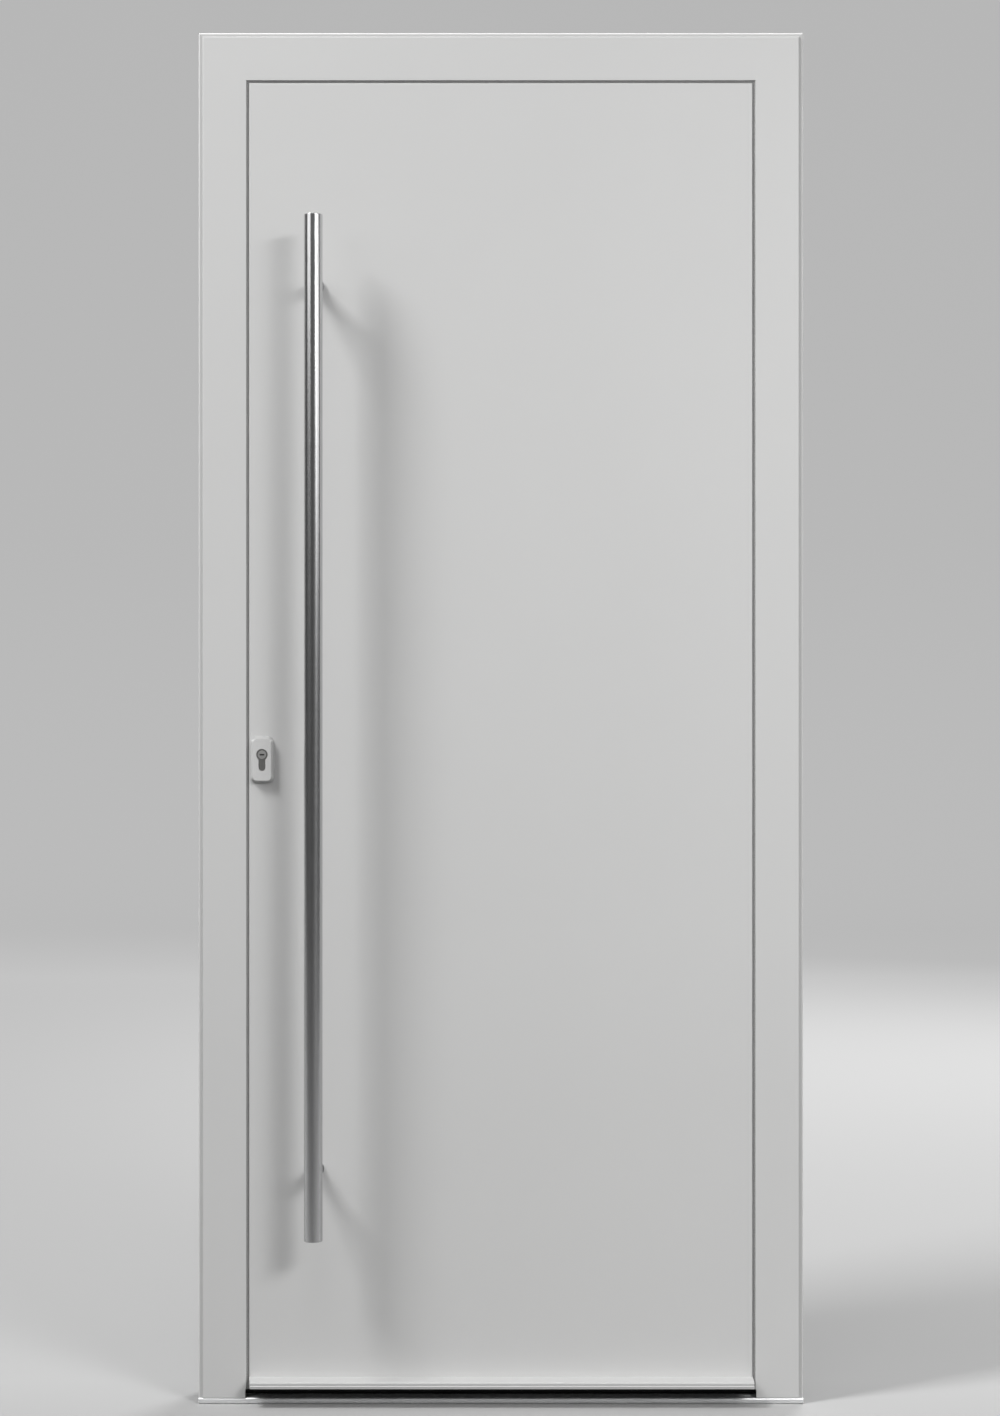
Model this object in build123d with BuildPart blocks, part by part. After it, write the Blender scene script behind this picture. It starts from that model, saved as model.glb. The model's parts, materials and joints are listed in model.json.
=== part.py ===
from build123d import *
import os

# A flush aluminium front door in its frame, with the leaf closed.
# +X is right as seen from outside, +Y goes into the house and +Z is up.
# The origin is the middle of the sill's underside. All sizes are in millimetres.

os.makedirs("parts", exist_ok=True)

# Frame: width, height and depth, then the visible face and the part behind it
frame_width = 926.0
frame_height = 2100.0
system_depth = 80.0
frame_face = 72.5
frame_body = 50.0
edge_step_width = 6.0
edge_step_depth = 2.2
edge_radius = 2.0
arris = 1.6
stop_depth = 20.0
stop_draft = 3.0

# Thermally broken sections, shared by the frame and the leaf
outer_shell_depth = 29.0
inner_shell_depth = 31.0
wall = 2.0
bar_web = 2.2
bar_head = 4.6
bar_grip = 2.4
bar_inset = 7.0

# Leaf
leaf_gap = 5.0
rebate_gap = 8.0
leaf_member = 80.0
outer_sheet = 3.0
inner_sheet = 3.0
seal_gap = 5.0
core_gap = 0.5
bar_end_gap = 0.3

# Stop gasket
gasket_clear = 0.4
gasket_bulb = 5.0
gasket_from_edge = 6.5
gasket_neck = 2.2
gasket_neck_depth = 1.0
gasket_foot = 4.0
gasket_foot_depth = 1.6
gasket_fit = 0.1

# Holes for the frame screws, through the jambs' inside chambers
fixing_hole_radius = 4.0
fixing_hole_from_back = 15.0
fixing_count = 4
fixing_from_bottom = 200.0
fixing_from_top = 205.0

# Sill
sill_height = 9.5
sill_outer_depth = 25.0
sill_nose_radius = 3.2
sill_break_depth = 12.0
upstand_height = 9.5
upstand_setback = 4.0
upstand_side_gap = 0.5
upstand_chamfer = 3.0
tread_groove_width = 1.4
tread_groove_depth = 0.7
tread_groove_pitch = 4.0
tread_groove_count = 4
leaf_to_sill = 5.0

# Bottom seal
seal_foot = 9.0
seal_lip = 2.0
seal_foot_height = 1.6
seal_setback = 60.0
seal_clear = 0.5

# Weather bar
weather_reach = 30.0
weather_top = 41.5
weather_front = 10.5
weather_fall = 1.0
weather_wall = 2.0
weather_nose = 3.0
weather_lip = 1.2
weather_lip_height = 4.8
weather_swing_cut = 4.0

# Bar handle
handle_inset = 103.1
handle_below_middle = 14.0
handle_length = 1545.0
handle_diameter = 28.0
handle_wall = 2.0
handle_reach = 65.0
standoff_from_end = 97.5
standoff_diameter = 18.0
standoff_base_diameter = 24.0
standoff_base = 4.0
standoff_fit = 0.1
cap_thickness = 3.0
cap_spigot = 12.0
cap_fit = 0.1
cap_edge = 0.8

# Lock cylinder and shield
lock_backset = 40.0
cylinder_height = 994.4
cylinder_radius = 8.5
cylinder_stem = 10.0
cylinder_tall = 33.0
cylinder_recess = 0.6
cylinder_fit = 0.25
plug_radius = 6.5
plug_length = 28.0
plug_fit = 0.05
plug_proud = 0.4
keyway_width = 7.0
keyway_height = 2.2
keyway_depth = 22.0
shield_width = 36.0
shield_tall = 72.0
shield_proud = 9.0
shield_corner = 10.0
shield_taper = 24.0
shield_edge = 1.2

# Lock in the leaf's edge and its keeps in the jamb
faceplate_thickness = 3.0
faceplate_from_bottom = 150.0
faceplate_from_top = 150.0
faceplate_corner = 4.0
lock_case_depth = 52.0
lock_case_thickness = 16.0
lock_case_tall = 190.0
end_case_depth = 34.0
end_case_tall = 90.0
bolt_width = 14.0
bolt_fit = 0.2
bolt_corner = 2.0
end_bolt_from_plate_end = 130.0
end_bolt_tall = 40.0
dead_bolt_tall = 36.0
dead_bolt_below_cylinder = 42.0
latch_tall = 30.0
keep_over_bolt = 45.0
keep_pocket_extra = 2.5

# Inside furniture
lever_above_cylinder = 92.0
rose_width = 32.0
rose_tall = 68.0
rose_thickness = 9.0
rose_edge = 2.0
lever_collar_radius = 10.0
lever_collar = 6.0
lever_reach = 55.0
lever_length = 125.0
lever_grip_height = 20.0
lever_grip_thickness = 13.0
lever_grip_corner = 5.0
lever_bend = 16.0

# Hinges
hinge_offset = 12.0
hinge_barrel = 10.0
hinge_pin = 5.0
hinge_pin_fit = 0.05
hinge_knuckle = 34.0
hinge_knuckle_gap = 0.6
hinge_plate = 3.5
hinge_plate_width = 34.0
hinge_plate_gap = 12.0
hinge_plate_corner = 4.0
hinge_arm = 7.0
hinge_arm_lift = 1.0
hinge_cap = 3.0
hinge_cap_edge = 1.2
hinge_from_bottom = 250.0
hinge_from_top = 250.0

# Places that follow from the sizes above
half_width = frame_width / 2
face_y = -system_depth / 2
back_y = system_depth / 2
break_front_y = face_y + outer_shell_depth
break_back_y = back_y - inner_shell_depth
break_middle_y = (break_front_y + break_back_y) / 2
break_width = break_back_y - break_front_y
inner_shell_start = system_depth - inner_shell_depth
body_half = half_width - frame_body
leaf_half = half_width - frame_face - leaf_gap
leaf_inner_half = body_half - rebate_gap
leaf_step = leaf_inner_half - leaf_half
leaf_top = frame_height - frame_face - leaf_gap
leaf_inner_top = frame_height - frame_body - rebate_gap
sill_top = sill_height + upstand_height
leaf_bottom = sill_top + leaf_to_sill
member_inside = leaf_inner_half - leaf_member
edge_x = -leaf_inner_half
lock_x = edge_x + lock_backset
latch_height = cylinder_height + lever_above_cylinder
faceplate_bottom = leaf_bottom + faceplate_from_bottom
faceplate_top = leaf_inner_top - faceplate_from_top
end_bolt_low = faceplate_bottom + end_bolt_from_plate_end
end_bolt_high = faceplate_top - end_bolt_from_plate_end
lock_case_z = cylinder_height + lever_above_cylinder / 2

# Each row is a bolt's height and how tall it is
bolt_rows = [
    (end_bolt_low, end_bolt_tall),
    (cylinder_height - dead_bolt_below_cylinder, dead_bolt_tall),
    (latch_height, latch_tall),
    (end_bolt_high, end_bolt_tall),
]

# Each row is a lock case's height, how tall it is and its depth into the leaf
case_rows = [
    (end_bolt_low, end_case_tall, end_case_depth),
    (lock_case_z, lock_case_tall, lock_case_depth),
    (end_bolt_high, end_case_tall, end_case_depth),
]


def keep(piece, name):
    """Names a finished piece and writes it."""
    piece.part.label = name
    export_step(piece.part, f"parts/{name}.step")


def across(x, y, z):
    """A plane whose sketch shows the depth to the right and the height upwards."""
    return Plane(origin=(x, y, z), x_dir=(0, 1, 0), z_dir=(1, 0, 0))


def facing_out(x, y, z):
    """A plane that faces the street, with +X to the right and +Z up."""
    return Plane(origin=(x, y, z), x_dir=(1, 0, 0), z_dir=(0, -1, 0))


def facing_in(x, y, z):
    """A plane that faces the house, with +X to the right and +Z down."""
    return Plane(origin=(x, y, z), x_dir=(1, 0, 0), z_dir=(0, 1, 0))


def level(x, y, z):
    """A horizontal plane that faces up."""
    return Plane(origin=(x, y, z), x_dir=(1, 0, 0), z_dir=(0, 0, 1))


def bar_pockets(start, width):
    """The two pockets in a section that grip the break bars' heads."""
    for middle in (bar_inset, width - bar_inset):
        with Locations((middle, start + bar_grip / 2)):
            Rectangle(bar_head, bar_grip, mode=Mode.SUBTRACT)


def frame_outer_section():
    """The frame's outside shell: stepped edge, face, stop flange and gasket groove."""
    gasket_at = frame_face - stop_draft - gasket_from_edge
    groove_depth = gasket_neck_depth + gasket_foot_depth
    flange_inside = stop_depth - groove_depth - wall
    chamber_start = edge_step_depth + wall
    chamber_end = outer_shell_depth - wall - bar_grip
    with BuildSketch() as section:
        with BuildLine():
            Polyline(
                (0, edge_step_depth),
                (edge_step_width, edge_step_depth),
                (edge_step_width, 0),
                (frame_face, 0),
                (frame_face - stop_draft, stop_depth),
                (frame_body + wall, stop_depth),
                (frame_body, stop_depth + wall),
                (frame_body, outer_shell_depth),
                (0, outer_shell_depth),
                close=True,
            )
        make_face()
        fillet(section.vertices().sort_by(lambda corner: corner.X + corner.Y)[0], edge_radius)
        fillet(section.vertices().group_by(Axis.Y)[0], arris)
        with Locations((frame_body / 2, (chamber_start + chamber_end) / 2)):
            Rectangle(frame_body - 2 * wall, chamber_end - chamber_start, mode=Mode.SUBTRACT)
        with BuildLine():
            Polyline(
                (frame_body, wall),
                (frame_face - wall, wall),
                (frame_face - wall - stop_draft * flange_inside / stop_depth, flange_inside),
                (frame_body, flange_inside),
                close=True,
            )
        make_face(mode=Mode.SUBTRACT)
        with Locations((gasket_at, stop_depth - gasket_neck_depth / 2)):
            Rectangle(gasket_neck + 2 * gasket_fit, gasket_neck_depth, mode=Mode.SUBTRACT)
        with Locations((gasket_at, stop_depth - gasket_neck_depth - gasket_foot_depth / 2)):
            Rectangle(gasket_foot + 2 * gasket_fit, gasket_foot_depth, mode=Mode.SUBTRACT)
        bar_pockets(outer_shell_depth - bar_grip, frame_body)
    return section.sketch


def gasket_section():
    """The stop gasket: a foot and neck in the flange's groove and a bulb that meets the leaf."""
    middle = frame_face - stop_draft - gasket_from_edge
    reach = seal_gap - gasket_clear
    with BuildSketch() as section:
        with Locations((middle, stop_depth + reach / 2)):
            Rectangle(gasket_bulb, reach)
        fillet(section.vertices().group_by(Axis.Y)[-1], gasket_bulb * 0.4)
        with Locations((middle, stop_depth - gasket_neck_depth / 2)):
            Rectangle(gasket_neck, gasket_neck_depth)
        with Locations((middle, stop_depth - gasket_neck_depth - gasket_foot_depth / 2)):
            Rectangle(gasket_foot, gasket_foot_depth)
    return section.sketch


def frame_inner_section():
    """The frame's inside shell: one hollow chamber and the pockets of the break bars."""
    chamber = inner_shell_depth - bar_grip - 2 * wall
    with BuildSketch() as section:
        with Locations((frame_body / 2, system_depth - inner_shell_depth / 2)):
            Rectangle(frame_body, inner_shell_depth)
        fillet(section.vertices().sort_by(lambda corner: -corner.X - corner.Y)[0], arris)
        with Locations((frame_body / 2, system_depth - wall - chamber / 2)):
            Rectangle(frame_body - 2 * wall, chamber, mode=Mode.SUBTRACT)
        bar_pockets(inner_shell_start, frame_body)
    return section.sketch


def bar_section(width):
    """The two plastic break bars, each with a head in both shells."""
    start = outer_shell_depth - bar_grip
    end = inner_shell_start + bar_grip
    with BuildSketch() as section:
        for middle in (bar_inset, width - bar_inset):
            with Locations((middle, (start + end) / 2)):
                Rectangle(bar_web, end - start)
            for head in (start + bar_grip / 2, end - bar_grip / 2):
                with Locations((middle, head)):
                    Rectangle(bar_head, bar_grip)
    return section.sketch


def leaf_outer_section():
    """The leaf's outside shell, with the thin flange that closes on the frame's gasket."""
    step = stop_depth + seal_gap
    chamber_end = outer_shell_depth - bar_grip - wall
    with BuildSketch() as section:
        with BuildLine():
            Polyline(
                (leaf_step, outer_sheet),
                (leaf_member, outer_sheet),
                (leaf_member, outer_shell_depth),
                (0, outer_shell_depth),
                (0, step),
                (leaf_step, step),
                close=True,
            )
        make_face()
        with BuildLine():
            Polyline(
                (leaf_step + wall, outer_sheet + wall),
                (leaf_member - wall, outer_sheet + wall),
                (leaf_member - wall, chamber_end),
                (leaf_step + wall, chamber_end),
                close=True,
            )
        make_face(mode=Mode.SUBTRACT)
        bar_pockets(outer_shell_depth - bar_grip, leaf_member)
    return section.sketch


def leaf_inner_section():
    """The leaf's inside shell: one hollow chamber behind the inner sheet."""
    back = system_depth - inner_sheet
    chamber = back - inner_shell_start - bar_grip - 2 * wall
    with BuildSketch() as section:
        with Locations((leaf_member / 2, (inner_shell_start + back) / 2)):
            Rectangle(leaf_member, back - inner_shell_start)
        with Locations((leaf_member / 2, back - wall - chamber / 2)):
            Rectangle(leaf_member - 2 * wall, chamber, mode=Mode.SUBTRACT)
        bar_pockets(inner_shell_start, leaf_member)
    return section.sketch


def mitre(corner_x, corner_z, side, keep_side, shortfall=0.0):
    """Cuts the current member along the 45 degree joint at a top corner."""
    split(bisect_by=Plane(origin=(corner_x, 0, corner_z + shortfall), z_dir=(-side, 0, 1)), keep=keep_side)


def upright(sketch, edge, bottom, top, side):
    """A jamb or stile with a mitre at its top, on the left for side -1 and the right for side 1."""
    with BuildPart() as member:
        with BuildSketch(level(side * edge, face_y, bottom)):
            add(mirror(sketch, about=Plane.YZ) if side > 0 else sketch)
        extrude(amount=top - bottom)
        mitre(side * edge, top, side, Keep.BOTTOM)
    return member


def crosspiece(sketch, edge, top, shortfall=0.0):
    """A head or top rail with a mitre at each end."""
    with BuildPart() as member:
        with BuildSketch(Plane(origin=(-edge, face_y, top), x_dir=(0, 0, -1), z_dir=(1, 0, 0))):
            add(sketch)
        extrude(amount=2 * edge)
        mitre(-edge, top, -1, Keep.TOP, shortfall)
        mitre(edge, top, 1, Keep.TOP, shortfall)
    return member


def cylinder_outline(extra=0.0):
    """The lock cylinder's outline in the current sketch: a round head over a narrow stem."""
    stem_middle = cylinder_tall - cylinder_radius - cylinder_stem / 2
    Circle(cylinder_radius + extra)
    with Locations((0, -stem_middle / 2)):
        Rectangle(cylinder_stem + 2 * extra, stem_middle)
    with Locations((0, -stem_middle)):
        Circle(cylinder_stem / 2 + extra)


def cut_cylinder_way():
    """Cuts the lock cylinder's way right through the current piece."""
    front = face_y - 2 * shield_proud
    back = back_y + 2 * rose_thickness
    with BuildSketch(facing_out(lock_x, front, cylinder_height)) as way:
        cylinder_outline(cylinder_fit)
    extrude(way.sketch, amount=front - back, mode=Mode.SUBTRACT)


def cut_fixing_holes(side):
    """Cuts the frame screws' holes through both walls of a jamb's inside chamber."""
    spacing = (frame_height - fixing_from_bottom - fixing_from_top) / (fixing_count - 1)
    for number in range(fixing_count):
        height = fixing_from_bottom + number * spacing
        middle = side * (half_width - frame_body / 2)
        with Locations(Location((middle, back_y - fixing_hole_from_back, height), (0, 90, 0))):
            Cylinder(fixing_hole_radius, 2 * frame_body, mode=Mode.SUBTRACT)


def keep_spans():
    """The strike plates' lower and upper ends: one for each end bolt and one for the middle pair."""
    spans = []
    for rows in (bolt_rows[:1], bolt_rows[1:3], bolt_rows[3:]):
        low = min(height - tall / 2 for height, tall in rows) - keep_over_bolt
        high = max(height + tall / 2 for height, tall in rows) + keep_over_bolt
        spans.append((low, high))
    return spans


# Frame: outside and inside shells
for side, name in ((-1, "left"), (1, "right")):
    outer_jamb = upright(frame_outer_section(), half_width, sill_height, frame_height, side)
    keep(outer_jamb, f"frame_{name}_outer_shell")

    with BuildPart() as inner_jamb:
        add(upright(frame_inner_section(), half_width, sill_height, frame_height, side).part)
        cut_fixing_holes(side)
    keep(inner_jamb, f"frame_{name}_inner_shell")

outer_head = crosspiece(frame_outer_section(), half_width, frame_height)
keep(outer_head, "frame_head_outer_shell")
inner_head = crosspiece(frame_inner_section(), half_width, frame_height)
keep(inner_head, "frame_head_inner_shell")

# The break bars end just short of each other at the corners and leave room for the bolts
with BuildPart() as frame_bars:
    for side in (-1, 1):
        add(upright(bar_section(frame_body), half_width, sill_height, frame_height, side).part)
    add(crosspiece(bar_section(frame_body), half_width, frame_height, bar_end_gap).part)
    for low, high in keep_spans():
        with Locations((-body_half - bar_inset, break_middle_y, (low + high) / 2)):
            Box(2 * bar_head, break_width + 2 * bar_grip, high - low, mode=Mode.SUBTRACT)
keep(frame_bars, "frame_break_bars")

# Stop gasket: one piece, joined at its mitred corners
with BuildPart() as stop_gasket:
    for side in (-1, 1):
        add(upright(gasket_section(), half_width, sill_height, frame_height, side).part)
    add(crosspiece(gasket_section(), half_width, frame_height).part)
keep(stop_gasket, "stop_gasket")

# Sill: a low threshold that runs under the jambs, with a raised part between them
sill_break_y = face_y + sill_outer_depth
sill_inner_y = sill_break_y + sill_break_depth
upstand_y = sill_break_y + upstand_setback
upstand_half = body_half - upstand_side_gap

with BuildPart() as sill_outer:
    with BuildSketch(across(-half_width, face_y, 0)) as nose:
        with Locations((sill_outer_depth / 2, sill_height / 2)):
            Rectangle(sill_outer_depth, sill_height)
        fillet(nose.vertices().group_by(Axis.X)[0], sill_nose_radius)
        with Locations(((sill_outer_depth + sill_nose_radius) / 2, sill_height / 2)):
            Rectangle(
                sill_outer_depth - sill_nose_radius - 2 * wall,
                sill_height - 2 * wall,
                mode=Mode.SUBTRACT,
            )
        for number in range(tread_groove_count):
            groove_at = sill_outer_depth - (number + 1) * tread_groove_pitch
            with Locations((groove_at, sill_height - tread_groove_depth / 2)):
                Rectangle(tread_groove_width, tread_groove_depth, mode=Mode.SUBTRACT)
    extrude(amount=frame_width)
keep(sill_outer, "sill_outer_plate")

with BuildPart() as sill_break:
    with BuildSketch(across(-half_width, sill_break_y, 0)):
        with Locations((sill_break_depth / 2, sill_height / 2)):
            Rectangle(sill_break_depth, sill_height)
    extrude(amount=frame_width)
    with BuildSketch(across(-upstand_half, upstand_y, sill_height)) as upstand:
        upstand_depth = sill_break_depth - upstand_setback
        with Locations((upstand_depth / 2, upstand_height / 2)):
            Rectangle(upstand_depth, upstand_height)
        chamfer(upstand.vertices().sort_by(lambda corner: corner.X - corner.Y)[0], upstand_chamfer)
    extrude(amount=2 * upstand_half)
keep(sill_break, "sill_break")

with BuildPart() as sill_inner:
    inner_depth = back_y - sill_inner_y
    with BuildSketch(across(-half_width, sill_inner_y, 0)):
        with Locations((inner_depth / 2, sill_height / 2)):
            Rectangle(inner_depth, sill_height)
            Rectangle(inner_depth - 2 * wall, sill_height - 2 * wall, mode=Mode.SUBTRACT)
    extrude(amount=frame_width)
    with BuildSketch(across(-upstand_half, sill_inner_y, sill_height)) as tread:
        with Locations((inner_depth / 2, upstand_height / 2)):
            Rectangle(inner_depth, upstand_height)
        fillet(tread.vertices().sort_by(lambda corner: -corner.X - corner.Y)[0], arris)
        with Locations((inner_depth / 2, (upstand_height - wall) / 2)):
            Rectangle(inner_depth - 2 * wall, upstand_height - wall, mode=Mode.SUBTRACT)
    extrude(amount=2 * upstand_half)
keep(sill_inner, "sill_inner_plate")

# Keeps for the lock's bolts, flush in the left jamb's rebate
with BuildPart() as strike_plates:
    for low, high in keep_spans():
        with BuildSketch(across(-body_half - faceplate_thickness, break_middle_y, (low + high) / 2)):
            RectangleRounded(break_width, high - low, faceplate_corner)
        extrude(amount=faceplate_thickness)
    for height, tall in bolt_rows:
        with BuildSketch(across(-body_half - faceplate_thickness, break_middle_y, height)):
            RectangleRounded(bolt_width + keep_pocket_extra, tall + 2 * keep_pocket_extra, bolt_corner)
        extrude(amount=faceplate_thickness, mode=Mode.SUBTRACT)
keep(strike_plates, "strike_plates")

# Leaf: stiles, the left one with the cylinder's way, and top rail
with BuildPart() as left_stile_outer:
    add(upright(leaf_outer_section(), leaf_inner_half, leaf_bottom, leaf_inner_top, -1).part)
    cut_cylinder_way()
keep(left_stile_outer, "leaf_left_stile_outer_shell")

with BuildPart() as left_stile_inner:
    add(upright(leaf_inner_section(), leaf_inner_half, leaf_bottom, leaf_inner_top, -1).part)
    cut_cylinder_way()
keep(left_stile_inner, "leaf_left_stile_inner_shell")

right_stile_outer = upright(leaf_outer_section(), leaf_inner_half, leaf_bottom, leaf_inner_top, 1)
keep(right_stile_outer, "leaf_right_stile_outer_shell")
right_stile_inner = upright(leaf_inner_section(), leaf_inner_half, leaf_bottom, leaf_inner_top, 1)
keep(right_stile_inner, "leaf_right_stile_inner_shell")

top_rail_outer = crosspiece(leaf_outer_section(), leaf_inner_half, leaf_inner_top)
keep(top_rail_outer, "leaf_top_rail_outer_shell")
top_rail_inner = crosspiece(leaf_inner_section(), leaf_inner_half, leaf_inner_top)
keep(top_rail_inner, "leaf_top_rail_inner_shell")

# The bottom rail stands between the stiles
rail_plane = across(-member_inside, face_y, leaf_bottom)


def bottom_rail_shell(front, back, pocket_start):
    """One hollow shell of the bottom rail between two depths from the face."""
    chamber_front = front + wall + (bar_grip if pocket_start == front else 0)
    chamber_back = back - wall - (bar_grip if pocket_start > front else 0)
    with BuildPart() as rail:
        with BuildSketch(rail_plane):
            with Locations(((front + back) / 2, leaf_member / 2)):
                Rectangle(back - front, leaf_member)
            with Locations(((chamber_front + chamber_back) / 2, leaf_member / 2)):
                Rectangle(chamber_back - chamber_front, leaf_member - 2 * wall, mode=Mode.SUBTRACT)
            for height in (bar_inset, leaf_member - bar_inset):
                with Locations((pocket_start + bar_grip / 2, height)):
                    Rectangle(bar_grip, bar_head, mode=Mode.SUBTRACT)
        extrude(amount=2 * member_inside)
    return rail


bottom_rail_outer = bottom_rail_shell(outer_sheet, outer_shell_depth, outer_shell_depth - bar_grip)
keep(bottom_rail_outer, "leaf_bottom_rail_outer_shell")
bottom_rail_inner = bottom_rail_shell(inner_shell_start, system_depth - inner_sheet, inner_shell_start)
keep(bottom_rail_inner, "leaf_bottom_rail_inner_shell")

# The leaf's break bars end just short of each other and leave room for the lock cases
with BuildPart() as leaf_bars:
    for side in (-1, 1):
        add(upright(bar_section(leaf_member), leaf_inner_half, leaf_bottom, leaf_inner_top, side).part)
    add(crosspiece(bar_section(leaf_member), leaf_inner_half, leaf_inner_top, bar_end_gap).part)
    with BuildSketch(rail_plane.offset(bar_end_gap)):
        for height in (bar_inset, leaf_member - bar_inset):
            with Locations((outer_shell_depth + break_width / 2, height)):
                Rectangle(break_width + 2 * bar_grip, bar_web)
            for head in (outer_shell_depth - bar_grip / 2, inner_shell_start + bar_grip / 2):
                with Locations((head, height)):
                    Rectangle(bar_grip, bar_head)
    extrude(amount=2 * (member_inside - bar_end_gap))
    for height, tall, depth in case_rows:
        with Locations((edge_x + bar_inset, break_middle_y, height)):
            Box(2 * bar_head, break_width + 2 * bar_grip, tall + 2 * bolt_fit, mode=Mode.SUBTRACT)
keep(leaf_bars, "leaf_break_bars")

# Sheets and core
with BuildPart() as outer_skin:
    with BuildSketch(facing_out(0, face_y + outer_sheet, (leaf_bottom + leaf_top) / 2)):
        Rectangle(2 * leaf_half, leaf_top - leaf_bottom)
    extrude(amount=outer_sheet)
    fillet(outer_skin.faces().sort_by(Axis.Y)[0].edges(), arris)
    cut_cylinder_way()
keep(outer_skin, "leaf_outer_sheet")

with BuildPart() as inner_skin:
    with BuildSketch(facing_out(0, back_y, (leaf_bottom + leaf_inner_top) / 2)):
        Rectangle(2 * leaf_inner_half, leaf_inner_top - leaf_bottom)
    extrude(amount=inner_sheet)
    fillet(inner_skin.faces().sort_by(Axis.Y)[-1].edges(), arris)
    cut_cylinder_way()
keep(inner_skin, "leaf_inner_sheet")

with BuildPart() as core:
    core_bottom = leaf_bottom + leaf_member + core_gap
    core_top = leaf_inner_top - leaf_member - core_gap
    with BuildSketch(facing_out(0, back_y - inner_sheet, (core_bottom + core_top) / 2)):
        Rectangle(2 * (member_inside - core_gap), core_top - core_bottom)
    extrude(amount=system_depth - inner_sheet - outer_sheet)
keep(core, "leaf_core")

# Bottom seal: a rubber blade under the leaf that ends just over the sill
with BuildPart() as bottom_seal:
    seal_bottom = sill_top + seal_clear
    with BuildSketch(across(-leaf_inner_half, face_y + seal_setback, leaf_bottom)):
        with BuildLine():
            Polyline(
                (-seal_foot / 2, 0),
                (seal_foot / 2, 0),
                (seal_foot / 2, -seal_foot_height),
                (seal_lip / 2, seal_bottom - leaf_bottom),
                (-seal_lip / 2, seal_bottom - leaf_bottom),
                (-seal_foot / 2, -seal_foot_height),
                close=True,
            )
        make_face()
    extrude(amount=2 * leaf_inner_half)
keep(bottom_seal, "bottom_seal")

# Weather bar: a hooked section with closed ends, cut back where it swings past the left jamb
with BuildPart() as weather_bar:
    weather_bottom = weather_top - weather_front
    drop = weather_top - weather_fall - weather_bottom
    lip_y = weather_reach - weather_lip
    plane = Plane(origin=(leaf_half, face_y, weather_bottom), x_dir=(0, -1, 0), z_dir=(-1, 0, 0))
    with BuildSketch(plane) as hook:
        with BuildLine():
            Polyline(
                (0, 0),
                (0, weather_front),
                (lip_y, drop),
                (lip_y, weather_lip_height),
                (weather_reach, weather_lip_height - weather_lip),
                (weather_reach, 0),
                close=True,
            )
        make_face()
        fillet(hook.vertices().sort_by(lambda corner: -corner.X - corner.Y)[0], weather_nose)
    extrude(amount=2 * leaf_half)
    with BuildSketch(plane.offset(weather_wall)):
        with BuildLine():
            Polyline(
                (weather_wall, 0),
                (weather_wall, weather_front - weather_wall),
                (lip_y - weather_nose, drop - weather_wall),
                (lip_y - weather_wall, drop - weather_nose),
                (lip_y - weather_wall, 0),
                close=True,
            )
        make_face()
    extrude(amount=2 * (leaf_half - weather_wall) - weather_swing_cut, mode=Mode.SUBTRACT)
    with BuildSketch(level(-leaf_half, face_y, weather_bottom)):
        with BuildLine():
            Polyline(
                (0, 0),
                (weather_swing_cut, -weather_reach),
                (0, -weather_reach),
                close=True,
            )
        make_face()
    extrude(amount=weather_front, mode=Mode.SUBTRACT)
keep(weather_bar, "weather_bar")

# Bar handle: tube, end caps and the two stand-offs behind it
handle_x = -leaf_half + handle_inset
handle_y = face_y - handle_reach
handle_middle = frame_height / 2 - handle_below_middle
tube_length = handle_length - 2 * cap_thickness

with BuildPart() as handle_bar:
    with BuildSketch(level(handle_x, handle_y, handle_middle - tube_length / 2)):
        Circle(handle_diameter / 2)
        Circle(handle_diameter / 2 - handle_wall, mode=Mode.SUBTRACT)
    extrude(amount=tube_length)
keep(handle_bar, "handle_bar")

with BuildPart() as handle_caps:
    for side in (-1, 1):
        seat = Plane(origin=(handle_x, handle_y, handle_middle + side * tube_length / 2), z_dir=(0, 0, side))
        with BuildSketch(seat):
            Circle(handle_diameter / 2)
        extrude(amount=cap_thickness)
        with BuildSketch(seat):
            Circle(handle_diameter / 2 - handle_wall - cap_fit)
        extrude(amount=-cap_spigot)
    rims = handle_caps.edges().filter_by(GeomType.CIRCLE).sort_by(Axis.Z)
    fillet([rims[0], rims[-1]], cap_edge)
keep(handle_caps, "handle_end_caps")

for side, name in ((-1, "handle_lower_standoff"), (1, "handle_upper_standoff")):
    height = handle_middle + side * (handle_length / 2 - standoff_from_end)
    with BuildPart() as standoff:
        with BuildSketch(facing_out(handle_x, face_y, height)):
            Circle(standoff_diameter / 2)
        extrude(amount=handle_reach)
        with BuildSketch(facing_out(handle_x, face_y, height)):
            Circle(standoff_base_diameter / 2)
        extrude(amount=standoff_base)
        with BuildSketch(level(handle_x, handle_y, height - handle_diameter)):
            Circle(handle_diameter / 2 + standoff_fit)
        extrude(amount=2 * handle_diameter, mode=Mode.SUBTRACT)
    keep(standoff, name)

# Shield outside the lock cylinder: sloping sides, round corners and the cylinder's way through
shield_z = cylinder_height + cylinder_radius - cylinder_tall / 2
with BuildPart() as shield:
    with BuildSketch(facing_out(lock_x, face_y, shield_z)):
        RectangleRounded(shield_width, shield_tall, shield_corner)
    extrude(amount=shield_proud, taper=shield_taper)
    fillet(shield.faces().sort_by(Axis.Y)[0].edges(), shield_edge)
    cut_cylinder_way()
keep(shield, "cylinder_shield")

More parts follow.
